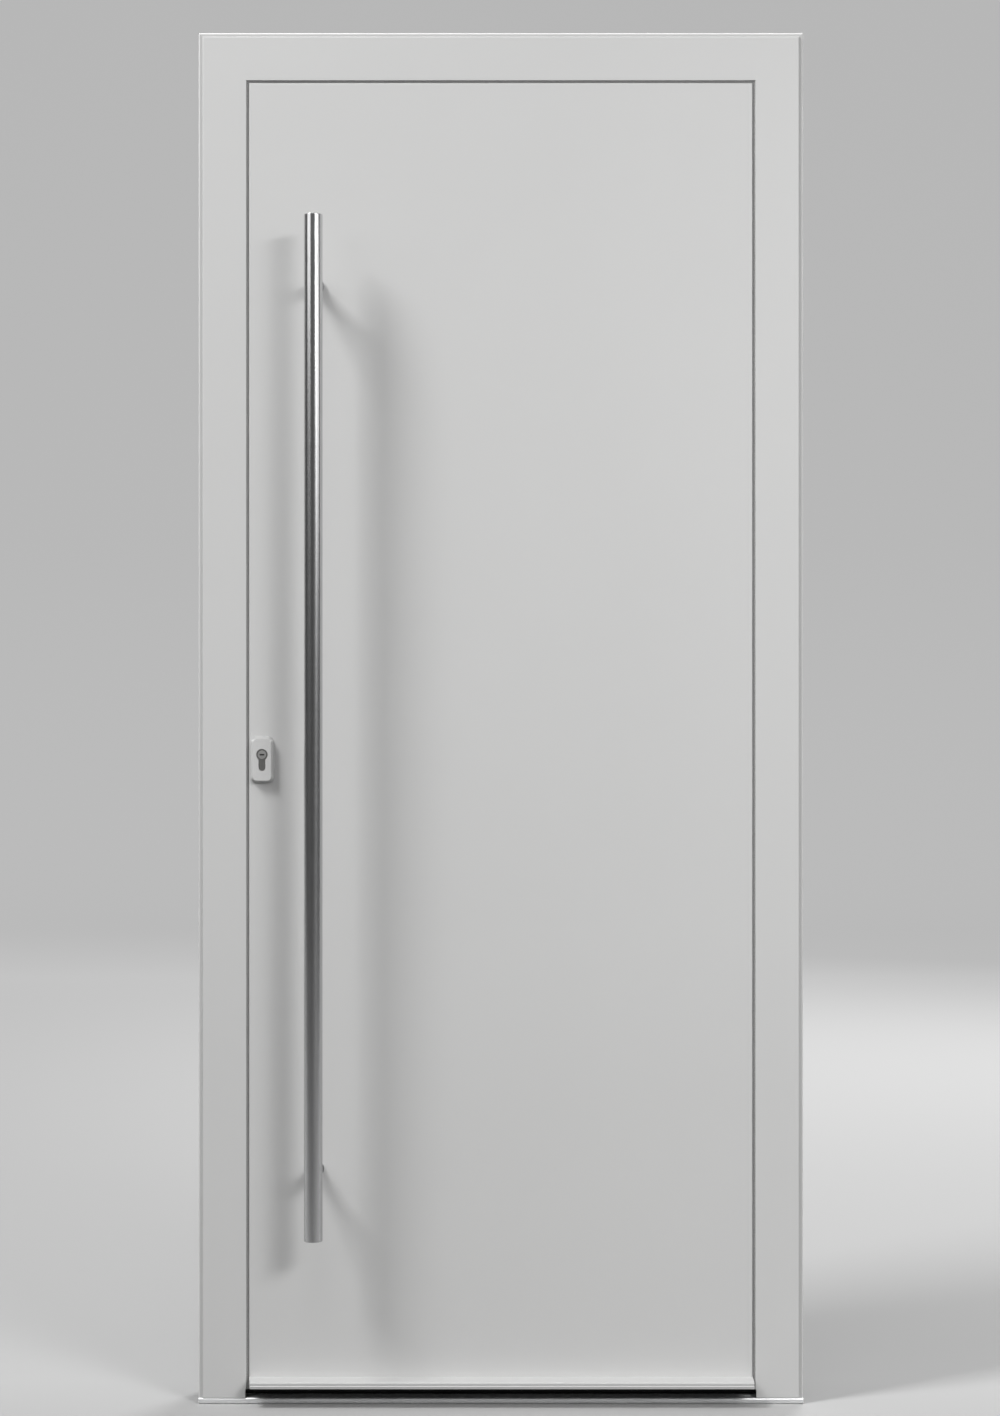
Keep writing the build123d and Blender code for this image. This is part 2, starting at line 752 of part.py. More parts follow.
cylinder_front = face_y - shield_proud + cylinder_recess
cylinder_back = back_y + rose_thickness - cylinder_recess
with BuildPart() as cylinder_body:
    with BuildSketch(facing_out(lock_x, cylinder_front, cylinder_height)):
        cylinder_outline()
    extrude(amount=cylinder_front - cylinder_back)
    with BuildSketch(facing_out(lock_x, cylinder_front, cylinder_height)):
        Circle(plug_radius + plug_fit)
    extrude(amount=-plug_length - plug_fit, mode=Mode.SUBTRACT)
keep(cylinder_body, "cylinder_body")

with BuildPart() as cylinder_plug:
    with BuildSketch(facing_out(lock_x, cylinder_front - plug_proud, cylinder_height)):
        Circle(plug_radius)
    extrude(amount=-plug_length - plug_proud)
    with BuildSketch(facing_out(lock_x, cylinder_front - plug_proud, cylinder_height)):
        Rectangle(keyway_width, keyway_height)
    extrude(amount=-keyway_depth, mode=Mode.SUBTRACT)
keep(cylinder_plug, "cylinder_plug")

# Lock: a long faceplate in the leaf's edge, the three cases behind it and the bolts drawn back flush
with BuildPart() as faceplate:
    plate_middle = (faceplate_bottom + faceplate_top) / 2
    with BuildSketch(across(edge_x, break_middle_y, plate_middle)):
        RectangleRounded(break_width, faceplate_top - faceplate_bottom, faceplate_corner)
    extrude(amount=faceplate_thickness)
    for height, tall in bolt_rows:
        with BuildSketch(across(edge_x, break_middle_y, height)):
            RectangleRounded(bolt_width, tall, bolt_corner)
        extrude(amount=faceplate_thickness, mode=Mode.SUBTRACT)
keep(faceplate, "lock_faceplate")

with BuildPart() as lock_bolts:
    for height, tall in bolt_rows:
        with BuildSketch(across(edge_x, break_middle_y, height)):
            RectangleRounded(bolt_width - 2 * bolt_fit, tall - 2 * bolt_fit, bolt_corner - bolt_fit)
        extrude(amount=faceplate_thickness)
keep(lock_bolts, "lock_bolts")

with BuildPart() as lock_cases:
    for height, tall, depth in case_rows:
        with BuildSketch(across(edge_x + faceplate_thickness, break_middle_y, height)):
            RectangleRounded(lock_case_thickness, tall, bolt_corner)
        extrude(amount=depth)
    cut_cylinder_way()
keep(lock_cases, "lock_cases")

# Inside furniture: two oval roses, the lower one round the cylinder, and the lever
with BuildPart() as inside_roses:
    with BuildSketch(facing_in(lock_x, back_y, 0)):
        for height in (shield_z, latch_height):
            with Locations((0, -height)):
                SlotOverall(rose_tall, rose_width, rotation=90)
    extrude(amount=rose_thickness)
    for rose_front in inside_roses.faces().group_by(Axis.Y)[-1]:
        fillet(rose_front.edges(), rose_edge)
    cut_cylinder_way()
keep(inside_roses, "inside_roses")

lever_start_y = back_y + rose_thickness
lever_grip_y = back_y + lever_reach
with BuildPart() as lever:
    with BuildLine():
        FilletPolyline(
            (lock_x, lever_start_y, latch_height),
            (lock_x, lever_grip_y, latch_height),
            (lock_x + lever_length, lever_grip_y, latch_height),
            radius=lever_bend,
        )
    with BuildSketch(facing_in(lock_x, lever_start_y, latch_height)):
        RectangleRounded(lever_grip_thickness, lever_grip_height, lever_grip_corner)
    sweep()
    fillet(lever.faces().sort_by(Axis.X)[-1].edges(), rose_edge)
    with BuildSketch(facing_in(lock_x, lever_start_y, latch_height)):
        Circle(lever_collar_radius)
    extrude(amount=lever_collar)
keep(lever, "inside_lever")

# Hinges: knuckles on both ends belong to the frame, the middle one belongs to the leaf
hinge_x = leaf_inner_half + rebate_gap / 2
hinge_y = back_y + hinge_offset
hinge_height = 3 * hinge_knuckle + 2 * hinge_knuckle_gap
hinge_high = frame_height - hinge_from_top
hinge_heights = [hinge_from_bottom, (hinge_from_bottom + hinge_high) / 2, hinge_high]
knuckle_pitch = hinge_knuckle + hinge_knuckle_gap


def hinge_half(height, places, side, bore):
    """One half of a hinge: a plate on the inner face, its knuckles and the arms between them."""
    plate_middle = hinge_x + side * (hinge_plate_gap + hinge_plate_width / 2)
    with BuildPart() as half:
        with BuildSketch(facing_in(plate_middle, back_y, height)):
            RectangleRounded(hinge_plate_width, hinge_height, hinge_plate_corner)
        extrude(amount=hinge_plate)
        for place in places:
            with BuildSketch(level(hinge_x, hinge_y, height + place - hinge_knuckle / 2)):
                Circle(hinge_barrel)
            extrude(amount=hinge_knuckle)
            arm_x = hinge_x + side * (hinge_plate_gap + hinge_plate_corner) / 2
            with Locations((arm_x, back_y + hinge_arm_lift + hinge_arm / 2, height + place)):
                Box(hinge_plate_gap + hinge_plate_corner, hinge_arm, hinge_knuckle - 2 * hinge_knuckle_gap)
        with BuildSketch(level(hinge_x, hinge_y, height - hinge_height)):
            Circle(bore)
        extrude(amount=2 * hinge_height, mode=Mode.SUBTRACT)
    return half


for number, height in enumerate(hinge_heights, start=1):
    frame_half = hinge_half(height, (-knuckle_pitch, knuckle_pitch), 1, hinge_pin)
    keep(frame_half, f"hinge_{number}_frame_half")
    leaf_side_half = hinge_half(height, (0,), -1, hinge_pin + hinge_pin_fit)
    keep(leaf_side_half, f"hinge_{number}_leaf_half")

with BuildPart() as hinge_pins:
    for height in hinge_heights:
        with BuildSketch(facing_out(hinge_x, hinge_y, height)) as profile:
            Rectangle(hinge_pin, hinge_height, align=(Align.MIN, Align.CENTER))
            for side in (-1, 1):
                with Locations((hinge_barrel / 2, side * (hinge_height + hinge_cap) / 2)):
                    Rectangle(hinge_barrel, hinge_cap)
            rims = profile.vertices().group_by(Axis.X)[-1].sort_by(Axis.Y)
            fillet([rims[0], rims[-1]], hinge_cap_edge)
        revolve(axis=Axis((hinge_x, hinge_y, height), (0, 0, 1)))
keep(hinge_pins, "hinge_pins")
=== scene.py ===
import json
import math

import bmesh
import bpy
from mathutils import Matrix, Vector


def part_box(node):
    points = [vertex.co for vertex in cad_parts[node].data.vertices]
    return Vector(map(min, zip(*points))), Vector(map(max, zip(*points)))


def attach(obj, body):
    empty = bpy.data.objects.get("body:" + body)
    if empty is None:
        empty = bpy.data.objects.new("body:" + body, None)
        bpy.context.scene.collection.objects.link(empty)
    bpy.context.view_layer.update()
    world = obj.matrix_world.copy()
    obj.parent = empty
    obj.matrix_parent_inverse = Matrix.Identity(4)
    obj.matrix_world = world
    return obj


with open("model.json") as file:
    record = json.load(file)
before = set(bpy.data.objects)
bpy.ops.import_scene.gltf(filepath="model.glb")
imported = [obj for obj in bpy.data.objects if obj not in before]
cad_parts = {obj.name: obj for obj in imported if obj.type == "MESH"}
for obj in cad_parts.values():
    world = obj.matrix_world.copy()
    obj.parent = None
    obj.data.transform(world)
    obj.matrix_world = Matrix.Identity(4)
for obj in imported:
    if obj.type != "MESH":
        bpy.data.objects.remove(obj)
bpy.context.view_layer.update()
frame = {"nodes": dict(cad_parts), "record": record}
nodes = frame["nodes"]

# Camera: straight at the door from 3.8 m in front of its face, at about half its height
EYE = Vector((-0.0013, -3.84, 1.0658))
LENS = 63.1
SENSOR = 36.0

# The studio's sky: its strength near eye level and overhead, and the slopes between which it changes
SKY_LOW = 0.05
SKY_HIGH = 0.30
SKY_LOW_SLOPE = 0.1
SKY_HIGH_SLOPE = 0.5

# The floor: how pale it looks, and how pale it is for the light that it throws back
FLOOR_SEEN = 0.38
FLOOR_FELT = 0.10
# It gets dimmer in front of the door, between these distances along Y
FLOOR_DIM = 0.10
DIM_FROM = 0.1
DIM_TO = -1.7
# The backdrop is darker than the floor, and has a glow that only the camera and mirrors see.
# Both set in behind the door, between these distances along Y
BACK_SEEN = 0.20
GLOW = 0.42
GLOW_FROM = 0.3
GLOW_TO = 6.0

# The sweep of floor and backdrop
SWEEP_HALF = 14.0
SWEEP_START = 8.0
SWEEP_RADIUS = 2.0
SWEEP_TOP = 9.0
SWEEP_STEPS = 24

# The strips in the gap round the leaf: their sections' corners, each as the distance outside the leaf's edge
# and behind its face, and how far they reach below the weather bar
COVER_SECTION = [(0.0071, 0.00005), (0.0046, 0.00005), (0.0043, 0.0003), (0.0043, 0.0022), (0.0062, 0.0022)]
SEAL_SECTION = [(0.0058, 0.0013), (0.0009, 0.0020), (0.0009, 0.0028), (0.0058, 0.0028)]
STRIP_BELOW_WEATHER_BAR = 0.0085

# Screws: corners round each, how far the head's edge is sunk and its top stands out, the recess's depth
SCREW_CORNERS = 36
SCREW_SUNK = 0.0004
SCREW_RISE = 0.0004
RECESS_DEPTH = 0.0003
# The recess's width as a share of the head, its points, and how far they stand out from the middle of its rim
RECESS_SHARE = 0.42
RECESS_POINTS = 6
RECESS_WAVE = 0.16

# Hinges: where the screws sit across a plate, the plates' face, and the screws' heights round its middle
HINGE_PLATE_MIDDLE = 0.017
HINGE_PLATE_FACE = 0.0435
HINGE_SCREW_RISES = (-0.038, -0.013, 0.013, 0.038)
HINGE_SCREW_RADIUS = 0.0045

# Lock: the faceplate's screws as shares of its height, and the strike plates' screws from each plate's ends
LOCK_SCREW_RADIUS = 0.0036
FACEPLATE_SCREW_SHARES = (0.008, 0.13, 0.27, 0.50, 0.66, 0.80, 0.992)
STRIKE_SCREW_INSET = 0.012
# Two strike plates are at least this far apart, and no plate has corners that are
STRIKE_PLATES_APART = 0.3

# The black block that stands in for the keyway's shade: half its width and height, and its front and back
# behind the plug's face
KEYWAY_SHADE_HALF_WIDTH = 0.0034
KEYWAY_SHADE_HALF_HEIGHT = 0.0010
KEYWAY_SHADE_FRONT = 0.0005
KEYWAY_SHADE_BACK = 0.0030


# Materials

def new_material(name):
    m = bpy.data.materials.new(name)
    m.use_nodes = True
    tree = m.node_tree
    tree.nodes.clear()
    out = tree.nodes.new("ShaderNodeOutputMaterial")
    shader = tree.nodes.new("ShaderNodeBsdfPrincipled")
    tree.links.new(shader.outputs["BSDF"], out.inputs["Surface"])
    return m, tree, shader


def add(tree, kind, **values):
    """A shader node with some of its inputs or properties set."""
    node = tree.nodes.new(kind)
    for key, value in values.items():
        if key in node.inputs:
            node.inputs[key].default_value = value
        else:
            setattr(node, key, value)
    return node


def calculated(tree, operation, first, second):
    """The result of a sum on two values, each an output of another node or a number."""
    node = add(tree, "ShaderNodeMath", operation=operation)
    for socket, value in zip(node.inputs, (first, second)):
        if isinstance(value, (int, float)):
            socket.default_value = value
        else:
            tree.links.new(value, socket)
    return node.outputs["Value"]


def coordinates(tree, scale=(1, 1, 1)):
    where = add(tree, "ShaderNodeTexCoord")
    mapping = add(tree, "ShaderNodeMapping")
    mapping.inputs["Scale"].default_value = scale
    tree.links.new(where.outputs["Object"], mapping.inputs["Vector"])
    return mapping.outputs["Vector"]


def place_in_space(tree, source="Object"):
    """The X, Y and Z of the place, or of the direction in the world's tree."""
    where = add(tree, "ShaderNodeTexCoord")
    split = add(tree, "ShaderNodeSeparateXYZ")
    tree.links.new(where.outputs[source], split.inputs["Vector"])
    return split.outputs


def noise(tree, vector, scale, detail=2.0, roughness=0.5):
    n = add(tree, "ShaderNodeTexNoise", Scale=scale, Detail=detail, Roughness=roughness)
    tree.links.new(vector, n.inputs["Vector"])
    return n.outputs["Fac"]


def spread(tree, value, low, high, from_low=0.3, from_high=0.7):
    """The value carried from one range to another."""
    r = add(tree, "ShaderNodeMapRange")
    r.inputs["From Min"].default_value = from_low
    r.inputs["From Max"].default_value = from_high
    r.inputs["To Min"].default_value = low
    r.inputs["To Max"].default_value = high
    tree.links.new(value, r.inputs["Value"])
    return r.outputs["Result"]


def shade_of(tree, colour, value, low, high):
    """The colour times a factor that runs from low to high as value does from 0.3 to 0.7."""
    mix = add(tree, "ShaderNodeVectorMath", operation="SCALE")
    mix.inputs[0].default_value = colour
    tree.links.new(spread(tree, value, low, high), mix.inputs["Scale"])
    return mix.outputs["Vector"]


def bumped(tree, shader, height, distance, strength=1.0):
    b = add(tree, "ShaderNodeBump", Strength=strength, Distance=distance)
    tree.links.new(height, b.inputs["Height"])
    tree.links.new(b.outputs["Normal"], shader.inputs["Normal"])


def powder_coat(name, colour, painted_light_bands=()):
    """A pale grey, fine textured powder coat: orange peel, a little grain and faint cloudiness.

    Each painted light band = (axis, from, to, factor) changes its tone where that coordinate's size is over
    those values: painted shade where the factor is under 1, a painted highlight where it is over 1.
    """
    m, tree, shader = new_material(name)
    peel = noise(tree, coordinates(tree), 420.0, 2.0, 0.55)
    grain = noise(tree, coordinates(tree), 2600.0, 2.0, 0.6)
    cloud = noise(tree, coordinates(tree), 3.5, 3.0, 0.55)
    shade = shade_of(tree, colour, cloud, 0.992, 1.008)
    place = place_in_space(tree)
    for axis, start, end, factor in painted_light_bands:
        side = add(tree, "ShaderNodeMath", operation="ABSOLUTE")
        tree.links.new(place[axis], side.inputs[0])
        changed = add(tree, "ShaderNodeVectorMath", operation="SCALE")
        tree.links.new(shade, changed.inputs[0])
        tree.links.new(spread(tree, side.outputs["Value"], 1.0, factor, start, end), changed.inputs["Scale"])
        shade = changed.outputs["Vector"]
    tree.links.new(shade, shader.inputs["Base Color"])
    tree.links.new(spread(tree, grain, 0.40, 0.50), shader.inputs["Roughness"])
    both = add(tree, "ShaderNodeMath", operation="MULTIPLY_ADD")
    both.inputs[1].default_value = 0.35
    tree.links.new(grain, both.inputs[0])
    tree.links.new(peel, both.inputs[2])
    bumped(tree, shader, both.outputs["Value"], 0.00006, 0.5)
    return m


def brushed(name, colour, roughness, along, fine=900.0):
    """Brushed metal whose marks run along one axis."""
    m, tree, shader = new_material(name)
    scale = [fine, fine, fine]
    scale["XYZ".index(along)] = fine / 60
    marks = noise(tree, coordinates(tree, scale), 1.0, 4.0, 0.6)
    tree.links.new(shade_of(tree, colour, marks, 0.94, 1.05), shader.inputs["Base Color"])
    tree.links.new(spread(tree, marks, roughness - 0.04, roughness + 0.06), shader.inputs["Roughness"])
    shader.inputs["Metallic"].default_value = 1.0
    bumped(tree, shader, marks, 0.00002, 0.5)
    return m


def ground_round(name, colour, roughness):
    """Steel tube ground while it turned: fine marks run round it and spread what it mirrors upright."""
    m, tree, shader = new_material(name)
    round_it = add(tree, "ShaderNodeTangent", direction_type="RADIAL", axis="Z")
    tree.links.new(round_it.outputs["Tangent"], shader.inputs["Tangent"])
    shader.inputs["Anisotropic"].default_value = 0.3
    shader.inputs["Anisotropic Rotation"].default_value = 0.25
    rings = noise(tree, coordinates(tree, (30.0, 30.0, 1500.0)), 1.0, 4.0, 0.6)
    cloud = noise(tree, coordinates(tree, (1, 1, 0.3)), 40.0, 2.0, 0.5)
    tree.links.new(shade_of(tree, colour, cloud, 0.98, 1.02), shader.inputs["Base Color"])
    tree.links.new(spread(tree, rings, roughness - 0.015, roughness + 0.015), shader.inputs["Roughness"])
    shader.inputs["Metallic"].default_value = 1.0
    bumped(tree, shader, rings, 0.000002, 0.1)
    return m


def cast_metal(name, colour, roughness):
    """Satin plated metal with a fine, even grain."""
    m, tree, shader = new_material(name)
    grain = noise(tree, coordinates(tree), 2400.0, 2.0, 0.6)
    tone = noise(tree, coordinates(tree), 60.0, 2.0, 0.5)
    tree.links.new(shade_of(tree, colour, tone, 0.96, 1.03), shader.inputs["Base Color"])
    tree.links.new(spread(tree, grain, roughness - 0.03, roughness + 0.04), shader.inputs["Roughness"])
    shader.inputs["Metallic"].default_value = 1.0
    bumped(tree, shader, grain, 0.000004, 0.3)
    return m


def rubber_like(name, colour, roughness):
    """Matt rubber or plastic with a fine grain."""
    m, tree, shader = new_material(name)
    grain = noise(tree, coordinates(tree), 700.0, 3.0, 0.6)
    tree.links.new(shade_of(tree, colour, grain, 0.8, 1.25), shader.inputs["Base Color"])
    tree.links.new(spread(tree, grain, roughness - 0.08, roughness + 0.08), shader.inputs["Roughness"])
    bumped(tree, shader, grain, 0.00003, 0.6)
    return m


def foam(name, colour):
    """Stiff foam with small closed cells."""
    m, tree, shader = new_material(name)
    cells = add(tree, "ShaderNodeTexVoronoi", Scale=900.0)
    tree.links.new(coordinates(tree), cells.inputs["Vector"])
    shade = shade_of(tree, colour, cells.outputs["Distance"], 0.85, 1.1)
    tree.links.new(shade, shader.inputs["Base Color"])
    shader.inputs["Roughness"].default_value = 0.9
    bumped(tree, shader, cells.outputs["Distance"], 0.0002, 0.7)
    return m


pale_grey = (0.600, 0.600, 0.596)
paint = powder_coat("pale_powder_coat", pale_grey)
# Painted light: the frame's outer step is darkened as painted shade and its rounded edge lightened as a
# painted highlight, and the shield's top slope is darkened as painted shade
jamb_painted_shade_and_highlight = [("X", 0.4566, 0.4574, 0.82), ("X", 0.4612, 0.4620, 1.45)]
jamb_paint_with_painted_light = powder_coat("jamb_powder_coat_painted_light", pale_grey, jamb_painted_shade_and_highlight)
# On the head too: painted shade on the outer step and a painted highlight on the rounded top edge
head_painted_shade_and_highlight = [("Z", 2.0920, 2.0935, 0.88), ("Z", 2.0970, 2.0985, 1.45)]
head_paint_with_painted_light = powder_coat("head_powder_coat_painted_light", pale_grey, head_painted_shade_and_highlight)
# The weather bar's coat is darker than the frame's: painted shade that tones down the strong light on its top
weather_bar_shaded_paint = powder_coat("weather_bar_coat_painted_shade", (0.440, 0.440, 0.437))
# A band across the shield's top slope is darkened: painted shade that dims its edge highlight
shield_painted_shade_band = [("Z", 1.0166, 1.0186, 0.60)]
shield_paint_with_painted_shade = powder_coat("shield_coat_painted_shade", (0.570, 0.570, 0.566), shield_painted_shade_band)
steel_up = brushed("stainless_brushed_up", (0.50, 0.50, 0.505), 0.34, "Z")
steel_round = ground_round("stainless_ground_round", (0.60, 0.60, 0.605), 0.24)
steel_out = brushed("stainless_brushed_out", (0.40, 0.40, 0.405), 0.36, "Y")
steel_across = brushed("stainless_brushed_across", (0.55, 0.55, 0.55), 0.34, "X")
mill = brushed("anodised_aluminium", (0.66, 0.665, 0.67), 0.36, "X", 700.0)
sill_metal = brushed("sill_aluminium", (0.88, 0.885, 0.89), 0.48, "X", 700.0)
nickel = cast_metal("satin_nickel", (0.40, 0.40, 0.39), 0.40)
plug_nickel = cast_metal("plug_nickel", (0.88, 0.875, 0.86), 0.38)
screw_steel = cast_metal("zinc_plated_screw", (0.56, 0.56, 0.55), 0.30)
polyamide = rubber_like("black_polyamide", (0.028, 0.028, 0.029), 0.62)
rubber = rubber_like("black_rubber", (0.014, 0.014, 0.014), 0.72)
grey_rubber = rubber_like("grey_lip_rubber", (0.27, 0.27, 0.268), 0.66)
core_foam = foam("foam_core", (0.72, 0.68, 0.55))

slot_paint = {
    "pale_coating": paint,
    "mill_aluminium": mill,
    "nickel": nickel,
    "black_polyamide": polyamide,
    "black_rubber": rubber,
    "foam": core_foam,
    "brushed_stainless": steel_across,
}
own_paint = {
    "handle_bar": steel_round,
    "handle_end_caps": steel_round,
    "handle_lower_standoff": steel_out,
    "handle_upper_standoff": steel_out,
    "lock_faceplate": steel_up,
    "strike_plates": steel_up,
    "cylinder_plug": plug_nickel,
    "frame_left_outer_shell": jamb_paint_with_painted_light,
    "frame_right_outer_shell": jamb_paint_with_painted_light,
    "frame_head_outer_shell": head_paint_with_painted_light,
    "weather_bar": weather_bar_shaded_paint,
    "cylinder_shield": shield_paint_with_painted_shade,
    "sill_outer_plate": sill_metal,
}
for part in frame["record"]["subparts"]:
    node = part["node"]
    mesh = nodes[node].data
    mesh.materials.clear()
    mesh.materials.append(own_paint.get(node, slot_paint[part["material_slot"]]))


# Pieces

def mesh_object(name, verts, faces, mat):
    mesh = bpy.data.meshes.new(name)
    mesh.from_pydata(verts, [], faces)
    mesh.update()
    obj = bpy.data.objects.new(name, mesh)
    bpy.context.scene.collection.objects.link(obj)
    mesh.materials.append(mat)
    return obj


def piece(name, verts, faces, mat, body):
    """A piece of the scene's own that moves with a body."""
    obj = mesh_object(name, verts, faces, mat)
    tidy = bmesh.new()
    tidy.from_mesh(obj.data)
    bmesh.ops.recalc_face_normals(tidy, faces=tidy.faces)
    tidy.to_mesh(obj.data)
    tidy.free()
    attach(obj, body)


def ring_faces(starts, corners):
    """Faces that join rings of so many corners, each ring given by the number of its first corner."""
    faces = []
    for a, b in zip(starts, starts[1:]):
        for i in range(corners):
            j = (i + 1) % corners
            faces.append((a + i, a + j, b + j, b + i))
    return faces


def gap_strip(name, section, mat):
    """A strip on the frame: up one side of the leaf, over its top and down the other side, with mitres."""
    corners = len(section)
    verts = []
    for side, at_top in ((-1, False), (-1, True), (1, True), (1, False)):
        for out, back in section:
            z = leaf_high.z + out if at_top else strip_foot
            verts.append((side * (leaf_high.x + out), leaf_low.y + back, z))
    starts = [corners * i for i in range(4)]
    faces = ring_faces(starts, corners)
    faces += [tuple(range(corners)), tuple(range(starts[-1], len(verts)))]
    piece(name, verts, faces, mat, "frame")


def star_screws(name, places, direction, body, radius):
    """Countersunk screws with a six-pointed recess, all in one piece, seen from the direction they face."""
    recess = radius * RECESS_SHARE
    rings = [
        (radius, 0.0, -SCREW_SUNK),
        (radius, 0.0, SCREW_RISE * 0.4),
        (radius * 0.93, 0.0, SCREW_RISE),
        (recess, RECESS_WAVE, SCREW_RISE),
        (recess * 0.94, RECESS_WAVE, -RECESS_DEPTH),
    ]
    turn = Vector(direction).to_track_quat("Z", "Y").to_matrix()
    verts = []
    faces = []
    for place in places:
        starts = []
        for size, wave, height in rings:
            starts.append(len(verts))
            for i in range(SCREW_CORNERS):
                angle = 2 * math.pi * i / SCREW_CORNERS
                r = size * (1 + wave * math.cos(RECESS_POINTS * angle))
                local = Vector((r * math.cos(angle), r * math.sin(angle), height))
                verts.append(tuple(Vector(place) + turn @ local))
        faces += ring_faces(starts, SCREW_CORNERS)
        faces.append(tuple(range(starts[-1], len(verts))))
    piece(name, verts, faces, screw_steel, body)


def small_box(name, low, high, mat, body):
    verts = []
    for z in (low[2], high[2]):
        verts += [(low[0], low[1], z), (high[0], low[1], z), (high[0], high[1], z), (low[0], high[1], z)]
    faces = [(0, 3, 2, 1), (4, 5, 6, 7)] + ring_faces([0, 4], 4)
    piece(name, verts, faces, mat, body)


# The gap round the leaf: a cover lip in the frame's colour and a grey seal behind it
leaf_low, leaf_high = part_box("leaf_outer_sheet")
strip_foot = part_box("weather_bar")[0].z - STRIP_BELOW_WEATHER_BAR
gap_strip("gap_cover_lip", COVER_SECTION, paint)
gap_strip("gap_lip_seal", SEAL_SECTION, grey_rubber)

# Screws of the hinges, in both plates
for number in (1, 2, 3):
    for body, outward in (("leaf", -1), ("frame", 1)):
        low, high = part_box(f"hinge_{number}_{body}_half")
        screw_x = (low.x if outward < 0 else high.x) - outward * HINGE_PLATE_MIDDLE
        middle = (low.z + high.z) / 2
        places = [(screw_x, HINGE_PLATE_FACE, middle + rise) for rise in HINGE_SCREW_RISES]
        star_screws(f"hinge_{number}_{body}_screws", places, (0, 1, 0), body, HINGE_SCREW_RADIUS)

# Screws of the lock's faceplate, in the leaf's edge
plate_low, plate_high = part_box("lock_faceplate")
plate_y = (plate_low.y + plate_high.y) / 2
plate_tall = plate_high.z - plate_low.z
places = [(plate_low.x, plate_y, plate_low.z + plate_tall * share) for share in FACEPLATE_SCREW_SHARES]
star_screws("faceplate_screws", places, (-1, 0, 0), "leaf", LOCK_SCREW_RADIUS)

# Screws of the strike plates in the jamb, two for each plate
strikes = nodes["strike_plates"]
strike_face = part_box("strike_plates")[1].x
heights = sorted((strikes.matrix_world @ v.co).z for v in strikes.data.vertices)
strike_screws = [heights[0] + STRIKE_SCREW_INSET]
for top, next_foot in zip(heights, heights[1:]):
    if next_foot - top > STRIKE_PLATES_APART:
        strike_screws += [top - STRIKE_SCREW_INSET, next_foot + STRIKE_SCREW_INSET]
strike_screws.append(heights[-1] - STRIKE_SCREW_INSET)
places = [(strike_face, plate_y, z) for z in strike_screws]
star_screws("strike_screws", places, (1, 0, 0), "frame", LOCK_SCREW_RADIUS)

# A black block behind the keyway's mouth: painted shade standing in for the dark inside of the keyway
plug_low, plug_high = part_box("cylinder_plug")
key_x = (plug_low.x + plug_high.x) / 2
key_z = (plug_low.z + plug_high.z) / 2
keyway_shade_low = (key_x - KEYWAY_SHADE_HALF_WIDTH, plug_low.y + KEYWAY_SHADE_FRONT, key_z - KEYWAY_SHADE_HALF_HEIGHT)
keyway_shade_high = (key_x + KEYWAY_SHADE_HALF_WIDTH, plug_low.y + KEYWAY_SHADE_BACK, key_z + KEYWAY_SHADE_HALF_HEIGHT)
small_box("keyway_painted_shade", keyway_shade_low, keyway_shade_high, rubber, "plug")


# Stage

def stage_material(name):
    """A pale studio surface, dimmer in front of the door and on the backdrop.

    What the camera and mirrors see is paler than what it throws back as light.
    """
    m, tree, shader = new_material(name)
    path = add(tree, "ShaderNodeLightPath").outputs
    seen_direct = calculated(tree, "MAXIMUM", path["Is Camera Ray"], path["Is Glossy Ray"])
    is_seen = calculated(tree, "MAXIMUM", seen_direct, path["Is Transmission Ray"])
    depth = place_in_space(tree)["Y"]
    floor_tone = spread(tree, depth, FLOOR_DIM, FLOOR_SEEN, DIM_TO, DIM_FROM)
    darker = spread(tree, depth, 0.0, FLOOR_SEEN - BACK_SEEN, GLOW_FROM, GLOW_TO)
    mix = add(tree, "ShaderNodeMix", data_type="FLOAT")
    mix.inputs[2].default_value = FLOOR_FELT
    tree.links.new(is_seen, mix.inputs[0])
    tree.links.new(calculated(tree, "SUBTRACT", floor_tone, darker), mix.inputs[3])
    tree.links.new(mix.outputs[0], shader.inputs["Base Color"])
    glow = spread(tree, depth, 0.0, GLOW, GLOW_FROM, GLOW_TO)
    shader.inputs["Emission Color"].default_value = (1.0, 1.0, 1.0, 1.0)
    tree.links.new(calculated(tree, "MULTIPLY", is_seen, glow), shader.inputs["Emission Strength"])
    shader.inputs["Roughness"].default_value = 0.9
    shader.inputs["Specular IOR Level"].default_value = 0.1
    return m


# A floor that curves up into the backdrop
profile = [(-SWEEP_HALF, 0.0), (SWEEP_START, 0.0)]
for i in range(1, SWEEP_STEPS + 1):
    a = math.pi / 2 * i / SWEEP_STEPS
    profile.append((SWEEP_START + SWEEP_RADIUS * math.sin(a), SWEEP_RADIUS - SWEEP_RADIUS * math.cos(a)))
profile.append((SWEEP_START + SWEEP_RADIUS, SWEEP_TOP))
verts = [(x, y, z) for y, z in profile for x in (-SWEEP_HALF, SWEEP_HALF)]
faces = [(2 * i, 2 * i + 1, 2 * i + 3, 2 * i + 2) for i in range(len(profile) - 1)]
sweep = mesh_object("studio_sweep", verts, faces, stage_material("studio_floor"))
for face in sweep.data.polygons:
    face.use_smooth = True


# Lights

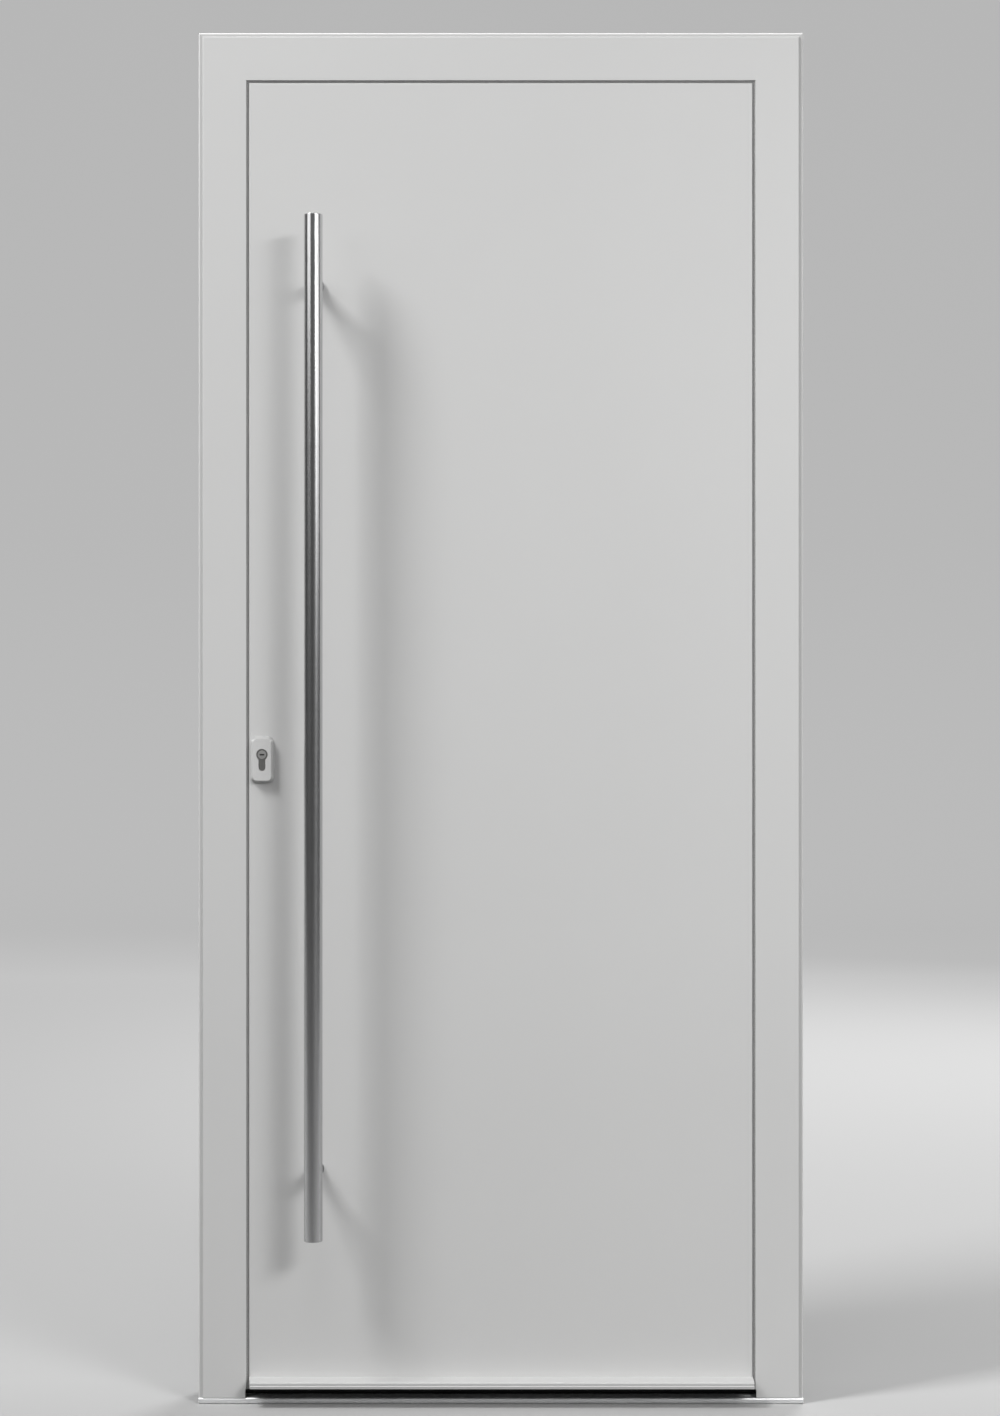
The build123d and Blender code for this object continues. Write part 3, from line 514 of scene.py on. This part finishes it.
def area(name, place, target, size, size_y, power):
    data = bpy.data.lights.new(name, "AREA")
    data.shape = "RECTANGLE"
    data.size = size
    data.size_y = size_y
    data.energy = power
    obj = bpy.data.objects.new(name, data)
    bpy.context.scene.collection.objects.link(obj)
    obj.location = place
    obj.rotation_euler = (Vector(target) - Vector(place)).to_track_quat("-Z", "Y").to_euler()
    obj.visible_camera = False


# The key is a ceiling panel on the right: it draws the crisp shadow on the left of the bar
area("key", (2.43, -3.38, 3.07), (2.43, -3.38, 0.0), 1.6, 1.6, 219.0)
# The fill is high on the left: it draws the soft shadow on the right of the bar
area("fill", (-3.40, -1.905, 5.86), (-0.3, 0, 1.2), 1.15, 2.3, 363.0)
# Two low, wide panels stand on both sides of the camera and draw the bar's bright stripes
area("right_panel", (3.30, -2.30, 2.21), (-0.28, -0.1, 2.21), 3.2, 1.0, 16.0)
area("left_panel", (-3.40, -2.60, 2.83), (-0.28, -0.1, 2.83), 2.9, 0.93, 17.0)
# A soft light over the front, in line with the bar, whose shadow falls behind the bar
area("front", (-0.4, -2.6, 5.2), (-0.3, 0, 1.4), 1.6, 1.6, 28.0)
# A soft light behind the door, for the side that the photo doesn't show
area("back", (2.0, 4.5, 3.6), (0, 0, 1.0), 2.5, 2.5, 260.0)

# The sky of the studio is dim near eye level and paler above
world = bpy.data.worlds.new("studio")
bpy.context.scene.world = world
world.use_nodes = True
sky = world.node_tree
background = sky.nodes["Background"]
slope = place_in_space(sky, "Generated")["Z"]
strength = spread(sky, slope, SKY_LOW, SKY_HIGH, SKY_LOW_SLOPE, SKY_HIGH_SLOPE)
sky.links.new(strength, background.inputs["Strength"])
background.inputs["Color"].default_value = (1.0, 1.0, 1.0, 1.0)


# Camera

camera_data = bpy.data.cameras.new("camera")
camera_data.sensor_fit = "VERTICAL"
camera_data.sensor_height = SENSOR
camera_data.sensor_width = SENSOR
camera_data.lens = LENS
camera = bpy.data.objects.new("camera", camera_data)
bpy.context.scene.collection.objects.link(camera)
camera.location = EYE
camera.rotation_euler = (math.radians(90), 0, 0)
bpy.context.scene.camera = camera

bpy.context.scene.view_settings.view_transform = "Standard"


bpy.context.view_layer.update()
